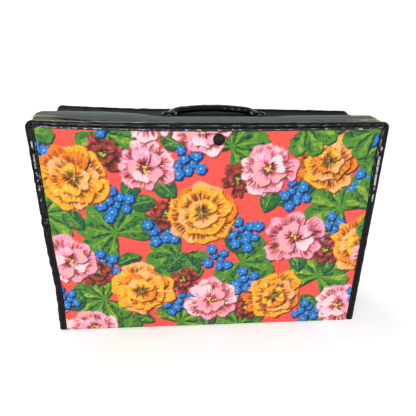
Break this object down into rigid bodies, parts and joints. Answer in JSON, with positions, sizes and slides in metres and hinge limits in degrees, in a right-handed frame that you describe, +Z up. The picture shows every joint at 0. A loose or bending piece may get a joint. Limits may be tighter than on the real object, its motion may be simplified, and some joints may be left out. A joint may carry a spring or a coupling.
{
  "type": "suitcase",
  "caption": "Soft-sided suitcase in printed cloth with black vinyl bindings, a zip-round front lid with a slip pocket and press stud, and a folding top handle.",
  "frame": {"origin": "middle of the base, on the surface that the case stands on", "axes": "+X to the viewer's right across the width, +Y from the front lid to the back, +Z up"},
  "size_m": [0.4838, 0.141, 0.34],
  "materials": {
    "print_cloth": "printed plain weave",
    "patent_vinyl": "patent gloss",
    "stiffener": "plain grey-brown board",
    "lining_cloth": "plain weave",
    "zip_cloth": "twill tape",
    "brass": "dull",
    "steel": "plain",
    "black_enamel": "gloss enamel"
  },
  "bodies": {
    "case": {"base_cover": "print_cloth", "hinge_cloth": "print_cloth", "bottom_board": "stiffener", "back_board": "stiffener", "bottom_lining": "lining_cloth", "back_lining": "lining_cloth", "gusset_lining": "lining_cloth", "top_gusset": "patent_vinyl", "left_gusset": "patent_vinyl", "right_gusset": "patent_vinyl", "back_binding": "patent_vinyl", "base_binding_left": "patent_vinyl", "base_binding_right": "patent_vinyl", "zip_tape_case": "zip_cloth", "zip_teeth_case": "brass", "zip_stop_case": "brass", "handle_plate": "steel", "ring_tab_left": "patent_vinyl", "ring_tab_right": "patent_vinyl", "tab_rivets": "black_enamel"},
    "lid": {"lid_cover": "print_cloth", "lid_board": "stiffener", "lid_lining": "lining_cloth", "lid_rim": "patent_vinyl", "lid_binding": "patent_vinyl", "pocket_panel": "print_cloth", "pocket_binding": "patent_vinyl", "snap_cap": "black_enamel", "snap_socket": "brass", "snap_stud": "brass", "snap_eyelet": "brass", "zip_tape_lid": "zip_cloth", "zip_teeth_lid": "brass", "zip_stop_lid": "brass"},
    "slider": {"zip_slider": "brass"},
    "pull": {"zip_pull": "brass"},
    "handle": {"handle_grip": "patent_vinyl", "handle_core": "steel", "handle_ring_left": "black_enamel", "handle_ring_right": "black_enamel"}
  },
  "joints": [
    {"name": "lid_hinge", "type": "hinge", "parent": "case", "child": "lid", "pos_m": [0, -0.0648, 0.004], "axis": [1, 0, 0], "range_deg": [0, 90], "deforming": ["hinge_cloth"]},
    {"name": "zip_slide", "type": "slide", "parent": "case", "child": "slider", "axis": [0, 0, 1], "range_m": [0, 0.265], "deforming": ["zip_teeth_case", "zip_teeth_lid"]},
    {"name": "pull_hinge", "type": "hinge", "parent": "slider", "child": "pull", "pos_m": [0.2416, -0.051, 0.042], "axis": [0, -1, 0], "range_deg": [0, 175]},
    {"name": "handle_hinge", "type": "hinge", "parent": "case", "child": "handle", "pos_m": [0.0065, -0.006, 0.32962], "axis": [1, 0, 0], "range_deg": [0, 130]}
  ]
}
